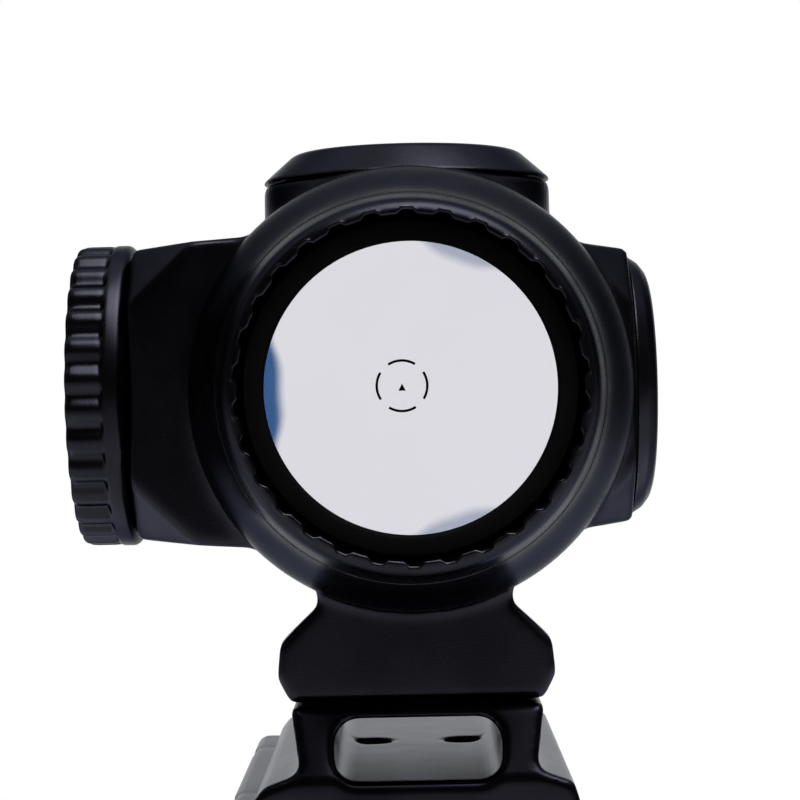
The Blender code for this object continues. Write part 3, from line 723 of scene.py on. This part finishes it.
def inner_tube():
    """The ridged tube with a lip for the reticle plate, and holes for the gimbal's upright pins."""
    low, high = span("inner_tube")
    outer, inner = TUBE_RADIUS, TUBE_INSIDE
    outline = [(low.y, inner), (low.y, outer), (high.y, outer), (high.y, inner)]
    outline += threaded(4.0, high.y - 0.4, inner, 0.2, 0.8)
    outline += [(-0.1, inner), (-0.1, 14.75), (-0.9, 14.75), (-0.9, inner)]
    outline += threaded(low.y + 0.4, -1.2, inner, 0.2, 0.8)
    tube = turned("tilting_tube", outline, FRONT, 120)
    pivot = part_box("tube_pin_top")[0].lerp(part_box("tube_pin_top")[1], 0.5) / MM
    hole = rod_outline(-PIN_HOLE_REACH, PIN_HOLE_REACH, PIN_HOLE_RADIUS)
    return carved(tube, turned("tube_pin_cut", hole, UP, 24, middle=(0, pivot.y, 0)), 0.08)


def objective_bezel():
    low, high = span("objective_bezel")
    outline = [
        (low.y, 16.9), (low.y, 17.6), (20.3, 17.6), (20.3, 19.75), (20.9, 19.82), (21.1, 19.6), (21.5, 19.6),
        (21.7, 19.84), (24.0, 19.9), (31.8, 19.6), (32.7, 19.3), (high.y, 18.8), (high.y, 18.3), (32.4, 18.0),
        (26.8, 18.0), (26.8, 16.9),
    ]
    return turned("objective_bezel_shell", rounded(outline, 0.15, 2), FRONT)


def retaining_ring(name, node, inside):
    """A thin plain ring that holds a lens in its seat."""
    low, high = span(node)
    outline = ring_outline(low.y, high.y, inside, (high.x - low.x) / 2)
    return turned(name, rounded(outline, 0.1, 2), FRONT)


def retaining_rings():
    yield retaining_ring("window_retainer", "eyepiece_retainer", 12.95), "eyepiece_retainer"
    yield retaining_ring("plate_retainer", "reticle_retainer", 14.75), "reticle_retainer"
    yield retaining_ring("front_retainer", "objective_retainer", 16.9), "objective_retainer"


# ---------------------------------------------------------------- the reticle

MARK_SHIFT = (-0.85, 0.4)
MARK_RADIUS = 2.48
MARK_LINE = 0.25
ARC_DEGREES = 64.0
MARK_DEPTH = 0.03


def reticle_arc(middle):
    """One thin arc of the ring, centred on the angle middle."""
    plate_rear = span("reticle_plate")[0].y
    steps = 24
    points, faces = [], []
    for i in range(steps + 1):
        angle = math.radians(middle + ARC_DEGREES * (i / steps - 0.5))
        for depth in (0.01, 0.01 + MARK_DEPTH):
            for radius in (MARK_RADIUS - MARK_LINE / 2, MARK_RADIUS + MARK_LINE / 2):
                across = MARK_SHIFT[0] + radius * math.cos(angle)
                up = MARK_SHIFT[1] + radius * math.sin(angle)
                points.append((across, plate_rear - depth, up))
    for i in range(steps):
        a, b = 4 * i, 4 * i + 4
        faces += [[a, a + 1, b + 1, b], [a + 2, b + 2, b + 3, a + 3], [a, b, b + 2, a + 2]]
        faces.append([a + 1, a + 3, b + 3, b + 1])
    faces += [[0, 2, 3, 1], [4 * steps, 4 * steps + 1, 4 * steps + 3, 4 * steps + 2]]
    return points, faces


def reticle_triangle():
    plate_rear = span("reticle_plate")[0].y
    corners = [(-0.36, -0.48), (0.36, -0.48), (0.0, 0.22)]
    points = [
        (MARK_SHIFT[0] + across, plate_rear - depth, MARK_SHIFT[1] + up)
        for depth in (0.01, 0.01 + MARK_DEPTH)
        for across, up in corners
    ]
    return points, [[0, 1, 2], [3, 5, 4], [0, 3, 4, 1], [1, 4, 5, 2], [2, 5, 3, 0]]


def reticle_marks():
    """The etched marks: four arcs of a ring and a small triangle."""
    for label, (points, faces) in (
        *((f"reticle_arc_{i}", reticle_arc(90.0 * i)) for i in range(4)),
        ("reticle_triangle", reticle_triangle()),
    ):
        yield tidied(label, (np.array(points) + (0, 0, AXIS_Z)) * MM, faces)


# ---------------------------------------------------------------- turrets, knob and caps


def coin_slot(name, towards, top, length, width, depth):
    """A cutter for a coin slot across the end of a turned piece."""
    half = [length / 2, width / 2]
    low = {"x": (top - depth, -half[0], -half[1]), "z": (-half[0], -half[1], top - depth)}
    high = {"x": (top + 1.0, half[0], half[1]), "z": (half[0], half[1], top + 1.0)}
    key = "z" if abs(towards.z) > 0.5 else "x"
    first, last = Vector(low[key]), Vector(high[key])
    if towards.x < 0:
        first.x, last.x = -last.x, -first.x
    return block(name, first, last)


def turret_cap(name, towards, start, end, outer):
    outline = [
        (end - 0.12, 0), (end - 0.12, outer[0][1] - 2.2), (end, outer[0][1] - 1.9), *outer,
        (start, 12.3), (start + 0.35, 12.3), (start + 0.35, 10.7), (start, 10.7),
        (start, 10.0), (start - 1.1, 10.0), (start - 1.1, 9.2), (start + 0.9, 9.2), (start + 0.9, 0),
    ]
    return turned(name, rounded(outline, 0.28, 4), towards)


def elevation_cap():
    top, start = span("elevation_cap")[1].z, 20.4
    outer = [(top, 10.7), (top - 0.25, 11.3), (start + 0.25, 14.0), (start, 14.05)]
    return turret_cap("elevation_cap_shell", UP, start, top, outer)


def windage_cap():
    end, start = span("windage_cap")[1].x, 21.3
    outer = [(end, 10.3), (end - 0.3, 11.2), (end - 1.0, 12.1), (start, 12.8)]
    return turret_cap("windage_cap_shell", RIGHT, start, end, outer)


def turret_dial(name, towards, boss_end):
    """The adjuster under a cap: a brass nut with a coin slot and fine click marks round its top."""
    top = boss_end + 0.9
    outline = [
        (POCKET_FLOOR + 0.3, 2.1), (POCKET_FLOOR + 0.3, 8.8), (top - 0.5, 8.8), (top - 0.5, 8.3),
        (top - 0.12, 8.1), (top, 7.6), (top, 2.1),
    ]

    def ticked(along, radius, angle):
        on_rim = (along > top - 0.6) & (radius > 7.9)
        return radius - 0.22 * on_rim * pulse(angle, 48, 0.6)

    dial = turned(name, rounded(outline, 0.1, 2), towards, 48 * 8, ticked)
    return carved(dial, coin_slot(f"{name}_cut", towards, top, 20.0, 1.2, 0.6), 0.06)


KNOB_RADIUS = 14.8
KNOB_RIBS = 30
RIB_DEPTH = 0.5


def brightness_knob():
    """A ribbed ring with a plain shoulder next to the boss, and a recess there for the detent ball."""
    end = -span("brightness_knob")[0].x
    outline = [
        (27.9, 12.6), (27.9, 13.95), (26.8, 13.95), (26.8, 14.3), (27.3, KNOB_RADIUS),
        (28.5, KNOB_RADIUS), (28.8, KNOB_RADIUS - 0.12),
        (29.3, KNOB_RADIUS - 0.05), (31.2, KNOB_RADIUS - 0.05), (31.9, KNOB_RADIUS - 0.1),
        (end, KNOB_RADIUS - 0.5), (end, 12.5), (end - 0.2, 12.3), (30.9, 12.3), (30.9, 12.6),
        (29.5, 12.6), (29.5, 13.4), (28.7, 13.4), (28.7, 12.6),
    ]

    def ribbed(along, radius, angle):
        band = np.clip((along - 28.6) / 0.45, 0, 1) * (radius > 13.6)
        wave = 0.5 - 0.5 * np.cos(angle * KNOB_RIBS)
        return radius - RIB_DEPTH * band * wave**1.4

    return turned("knob_shell", rounded(outline, 0.3, 3), LEFT, KNOB_RIBS * 16, ribbed)


def battery_cap():
    end = -span("battery_cap")[0].x
    outline = [
        (end, 0), (end, 9.2), (end - 0.15, 9.5), (end - 0.15, 9.9), (end, 10.2), (end, 11.4),
        (end - 0.3, 11.9),
        (31.0, 11.9), (31.0, 11.0), (28.9, 11.0), (28.9, 10.2), (26.0, 10.2), (26.0, 0),
    ]
    cap = turned("battery_cap_shell", rounded(outline, 0.15, 2), LEFT)
    return carved(cap, coin_slot("battery_cap_cut", LEFT, end, 17.0, 1.8, 1.0), 0.15)


# ---------------------------------------------------------------- riser and clamp

TUNNEL = (7.75, 4.0, 9.5, 2.2)
SCREW_PLACES = ((-4.65, 9.4), (4.65, 9.4))
BOLT_PLACES = (-8.0, 22.0)
BOLT_Z = -1.65
BOLT_HOLE_RADIUS = 1.65
BOLT_HEAD_HOLE_RADIUS = 2.55
ACCESS_HOLE_RADIUS = 1.7
SCREW_HOLE_RADIUS = 1.55
# The riser's ends lean inwards above this height, by this much for each millimetre up.
TRIM_START = 4.2
TRIM_LEAN = 3.5 / 7.8


def from_seat(field):
    """The field of a shape whose heights are counted from the seat on the rail, not from the optical axis."""
    return lambda x, y, z: field(x, y, z + AXIS_Z)


def riser_field(x, y, z):
    low, high = span("riser_mount")
    top = high.z + AXIS_Z
    outline = [
        (-8.2, 0.0), (8.0, 0.0), (10.9, -2.9), (10.9, -3.5), (8.6, -5.8), (8.6, -6.4), (13.9, -6.4),
        (14.9, -5.2), (14.9, 1.5), (14.25, 3.7), (11.6, 4.65), (11.0, 5.3), (11.8, top), (-11.8, top),
        (-11.0, 5.3), (-11.6, 4.65), (-14.25, 3.7), (-15.7, 1.9), (-8.2, 1.9),
    ]
    body = np.maximum(polygon(outline, x, z), slab(y, low.y, high.y))
    half, floor, ceiling, corner = TUNNEL
    inset_x = np.abs(x) - half + corner
    inset_z = np.abs(z - (floor + ceiling) / 2) - (ceiling - floor) / 2 + corner
    tunnel = np.hypot(np.maximum(inset_x, 0), np.maximum(inset_z, 0)) - corner
    tunnel = tunnel + np.minimum(np.maximum(inset_x, inset_z), 0)
    body = smooth_cut(body, tunnel, 0.7)
    for end, side in ((low.y, -1), (high.y, 1)):
        trim = (side * (y - end) + TRIM_LEAN * (z - TRIM_START)) / math.hypot(1, TRIM_LEAN)
        body = np.maximum(body, np.minimum(trim, z - TRIM_START))
    for px, py in SCREW_PLACES:
        away = np.hypot(x - px, y - py)
        body = smooth_cut(body, np.maximum(away - ACCESS_HOLE_RADIUS, z - 5.0), 0.5)
        body = np.maximum(body, -np.maximum(away - SCREW_HOLE_RADIUS, 8.0 - z))
    for py in BOLT_PLACES:
        bore = np.maximum(np.hypot(y - py, z - BOLT_Z) - BOLT_HOLE_RADIUS, 7.0 - x)
        body = smooth_cut(body, bore, 0.4)
        relief = np.maximum(np.abs(y - py) - 2.2, np.maximum(z - 0.6, slab(x, -9.5, 8.6)))
        body = np.maximum(body, -relief)
    return body


def riser():
    return surface("riser_shell", from_seat(riser_field), *span("riser_mount"), RISER_STEP)


def jaw_field(x, y, z):
    low, high = span("clamp_jaw")
    outline = [
        (-17.1, 1.75), (-17.9, 1.1), (-17.9, -5.4), (-16.8, -6.45), (-8.6, -6.4), (-8.6, -5.8),
        (-10.9, -3.5), (-10.9, -2.9), (-8.5, -0.5), (-8.5, 1.6),
    ]
    body = np.maximum(polygon(outline, x, z), slab(y, low.y, high.y))
    for py in BOLT_PLACES:
        away = np.hypot(y - py, z - BOLT_Z)
        body = np.maximum(body, BOLT_HOLE_RADIUS - away)
        body = smooth_cut(body, np.maximum(away - BOLT_HEAD_HOLE_RADIUS, 14.0 + x), 0.4)
    return body


def clamp_jaw():
    return surface("jaw_shell", from_seat(jaw_field), *span("clamp_jaw"), RISER_STEP)


def hex_cutter(name, start, end, radius, towards, middle):
    return turned(name, rod_outline(start, end, radius), towards, 6, None, middle)


def clamp_bolt(label, py):
    """A socket screw through both jaws."""
    middle = (0.0, py, BOLT_Z - AXIS_Z)
    outline = [(-14.0, 0), (-14.0, 1.35), (14.3, 1.35), (14.3, 2.25), (17.2, 2.25), (17.2, 0)]
    bolt = turned(f"bolt_{label}", rounded(outline, 0.2, 3), LEFT, 48, None, middle)
    return carved(bolt, hex_cutter(f"bolt_{label}_cut", 15.6, 18.0, 1.15, LEFT, middle), 0.05)


def foot_screw(label, px, py):
    """A socket screw up through the riser's top plate."""
    middle = (px, py, -AXIS_Z)
    outline = [(7.7, 0), (7.7, 2.1), (9.2, 2.1), (9.2, 1.25), (17.6, 1.25), (17.6, 0)]
    screw = turned(f"screw_{label}", rounded(outline, 0.2, 3), UP, 48, None, middle)
    return carved(screw, hex_cutter(f"screw_{label}_cut", 7.0, 8.6, 1.0, UP, middle), 0.05)


# ---------------------------------------------------------------- everything put together


def finished_pieces():
    """Every drawn piece with its CAD body, the CAD nodes that it stands for, and its finish."""
    yield housing_shell(), "housing", ["main_housing"], "black_anodised"
    yield eyepiece_bell(), "housing", ["eyepiece_bell"], "black_anodised"
    yield focus_ring(), "focus_ring", ["focus_ring"], "black_anodised"
    yield eyepiece_cell(), "eyepiece_cell", ["eyepiece_cell"], "inner_black"
    yield lens("window", "eyepiece_lens", 0.2), "eyepiece_cell", ["eyepiece_lens"], "eyepiece_glass"
    yield lens("reticle_glass", "reticle_plate", 0.0), "inner_tube", ["reticle_plate"], "coated_glass"
    yield lens("front_glass", "objective_lens", 0.2), "housing", ["objective_lens"], "coated_glass"
    yield inner_tube(), "inner_tube", ["inner_tube"], "inner_black"
    yield objective_bezel(), "housing", ["objective_bezel"], "black_anodised"
    bodies = {"eyepiece_retainer": "eyepiece_cell", "reticle_retainer": "inner_tube"}
    for ring, node in retaining_rings():
        yield ring, bodies.get(node, "housing"), [node], "inner_black"
    for mark in reticle_marks():
        yield mark, "inner_tube", [], "inner_black"
    yield elevation_cap(), "elevation_cap", ["elevation_cap"], "black_anodised"
    yield windage_cap(), "windage_cap", ["windage_cap"], "black_anodised"
    yield turret_dial("elevation_nut", UP, 20.1), "elevation_dial", ["elevation_dial"], "brass"
    yield turret_dial("windage_nut", RIGHT, RIGHT_BOSS_END), "windage_dial", ["windage_dial"], "brass"
    yield brightness_knob(), "brightness_knob", ["brightness_knob"], "black_anodised"
    yield battery_cap(), "battery_cap", ["battery_cap"], "black_anodised"
    yield riser(), "housing", ["riser_mount"], "rail_anodised"
    yield clamp_jaw(), "clamp_jaw", ["clamp_jaw"], "rail_anodised"
    for label, py in zip(("rear", "front"), BOLT_PLACES):
        yield clamp_bolt(label, py), f"clamp_bolt_{label}", [f"clamp_bolt_{label}"], "black_steel"
    for label, place in zip(("left", "right"), SCREW_PLACES):
        yield foot_screw(label, *place), "housing", [f"foot_screw_{label}"], "black_steel"


# Finishes that only single pieces have, with the material slot that each belongs to.
SLOT_OF = {"eyepiece_glass": "coated_glass", "rail_anodised": "black_anodised"}


def build():
    finishes = make_materials()
    for obj, body, nodes, finish in finished_pieces():
        fitted(obj, body, nodes, finishes[finish], SLOT_OF.get(finish, finish))
    for part in frame["record"]["subparts"]:
        node = frame["nodes"][part["node"]]
        if node.hide_render:
            continue
        node.data.materials.clear()
        node.data.materials.append(finishes[part["material_slot"]])
        node.data.set_sharp_from_angle(angle=SHARP_ANGLE)


# ---------------------------------------------------------------- floor, light and camera

FLOOR_SIZE = 3.0
# How strongly the floor's painted glow shines at the object's sides.
FLOOR_GLOW = 1.0
CAMERA_DISTANCE = 0.236
CAMERA_DROP = 1.2
CAMERA_TURN = 0.264
CAMERA_TILT = 90.048
CAMERA_ROLL = -1.2
LIGHT_PLACE = (0.08, -0.13, 0.45)


def floor_material():
    """Pale and slightly mottled. A painted glow lights the floor behind the object and at its sides, inside
    the camera's view, like a lit studio backdrop, and painted shade turns it darker grey in front of the
    object.
    """
    nodes = Nodes("studio_floor")
    mottle = nodes.ramp(nodes.noise(14.0), 0.3, 0.7)
    pale = nodes.mix(mottle, (0.80, 0.80, 0.81), (0.83, 0.83, 0.84))
    away = nodes.dot(nodes.place, (0.0, 1.0, 0.0))
    sides = [nodes.dot(nodes.place, (way, 0.0, 0.0)) for way in (1.0, -1.0)]
    sideways = nodes.math("MAXIMUM", *sides)
    spread = nodes.math("DIVIDE", sideways, nodes.math("ADD", away, CAMERA_DISTANCE))
    inside = nodes.ramp(spread, 0.42, 0.26)
    # Painted glow: the floor behind the object and at its sides, inside the camera's view, glows as if lit.
    behind = nodes.math("MULTIPLY", nodes.ramp(away, 0.012, 0.036), inside)
    painted_glow_beside = nodes.math("MULTIPLY", nodes.ramp(away, -0.02, 0.005, 0.0, FLOOR_GLOW), inside)
    # Painted shade: the floor turns darker grey in front of the object, towards the camera.
    clear_of_painted_shade = nodes.ramp(away, -0.13, -0.02)
    lit = nodes.mix(clear_of_painted_shade, (0.36, 0.36, 0.365), nodes.mix(behind, pale, (0.0, 0.0, 0.0)))
    nodes.set(Base_Color=lit, Roughness=0.8, Specular_IOR_Level=0.0)
    nodes.bump(nodes.noise(900.0), 0.1, 0.05)
    glow = nodes.math("MAXIMUM", behind, painted_glow_beside)
    nodes.set(Emission_Color=(1.0, 1.0, 1.0, 1.0), Emission_Strength=glow)
    return nodes.material


def make_floor():
    height = CAD_BOUNDS[0].z - 0.0002
    half = FLOOR_SIZE / 2
    corners = [(-half, -half, height), (half, -half, height), (half, half, height), (-half, half, height)]
    floor = placed("floor", corners, [[0, 1, 2, 3]])
    floor.data.materials.append(floor_material())
    floor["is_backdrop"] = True


# How bright the surroundings are, by how nearly a direction points the way the camera looks.
SKY = ((0.0, 0.03), (0.33, 0.05), (0.5, 0.10), (0.75, 0.07), (0.87, 0.06), (0.945, 0.35), (0.975, 1.0))
# How bright the ceiling is straight up, and where it begins (the upward part of a direction).
CEILING = 1.1
CEILING_START = 0.3


def make_world():
    """A backdrop that is bright behind the object and dim at the sides and behind the camera."""
    world = bpy.data.worlds.new("studio")
    bpy.context.scene.world = world
    world.use_nodes = True
    tree = world.node_tree
    place = tree.nodes.new("ShaderNodeTexCoord")
    parts = tree.nodes.new("ShaderNodeSeparateXYZ")
    tree.links.new(place.outputs["Generated"], parts.inputs["Vector"])
    share = tree.nodes.new("ShaderNodeMapRange")
    share.inputs["From Min"].default_value = -1.0
    tree.links.new(parts.outputs["Y"], share.inputs["Value"])
    ramp = tree.nodes.new("ShaderNodeValToRGB")
    tree.links.new(share.outputs["Result"], ramp.inputs["Fac"])
    stops = ramp.color_ramp.elements
    while len(stops) < len(SKY):
        stops.new(0.5)
    for stop, (where, level) in zip(stops, SKY):
        stop.position = where
        stop.color = (level, level, level, 1.0)
    ceiling = tree.nodes.new("ShaderNodeMapRange")
    ceiling.inputs["From Min"].default_value = CEILING_START
    ceiling.inputs["To Max"].default_value = CEILING
    tree.links.new(parts.outputs["Z"], ceiling.inputs["Value"])
    ahead = tree.nodes.new("ShaderNodeMapRange")
    ahead.inputs["From Min"].default_value = -0.2
    ahead.inputs["From Max"].default_value = 0.7
    tree.links.new(parts.outputs["Y"], ahead.inputs["Value"])
    total = tree.nodes.new("ShaderNodeVectorMath")
    total.operation = "MULTIPLY_ADD"
    tree.links.new(ceiling.outputs["Result"], total.inputs[0])
    tree.links.new(ahead.outputs["Result"], total.inputs[1])
    tree.links.new(ramp.outputs["Color"], total.inputs[2])
    tree.links.new(total.outputs["Vector"], tree.nodes["Background"].inputs["Color"])


def make_light():
    """One soft box above the object, a little to the right."""
    data = bpy.data.lights.new("soft_box", "AREA")
    data.size = 0.5
    data.energy = 0.6
    data.spread = math.radians(70)
    light = bpy.data.objects.new("soft_box", data)
    bpy.context.scene.collection.objects.link(light)
    light.location = AXIS + Vector(LIGHT_PLACE)
    light.rotation_euler = (AXIS - light.location).to_track_quat("-Z", "Y").to_euler()


def make_camera():
    """Level with the optical axis, straight behind the eyepiece."""
    data = bpy.data.cameras.new("camera")
    data.lens = 107.3
    data.sensor_width = 36.0
    data.clip_start = 0.01
    camera = bpy.data.objects.new("camera", data)
    bpy.context.scene.collection.objects.link(camera)
    turn = Matrix.Rotation(math.radians(CAMERA_TURN), 4, "Z")
    tilt = Matrix.Rotation(math.radians(CAMERA_TILT), 4, "X")
    roll = Matrix.Rotation(math.radians(CAMERA_ROLL), 4, "Z")
    place = Matrix.Translation(Vector((0.0, -CAMERA_DISTANCE, AXIS.z - CAMERA_DROP * MM)))
    camera.matrix_world = place @ turn @ tilt @ roll
    bpy.context.scene.camera = camera


build()
make_floor()
make_world()
make_light()
make_camera()
bpy.context.scene.view_settings.view_transform = "Standard"
sizes = {"cad": CAD_BOUNDS, "visual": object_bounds()}
{name: [list(corner) for corner in box] for name, box in sizes.items()}
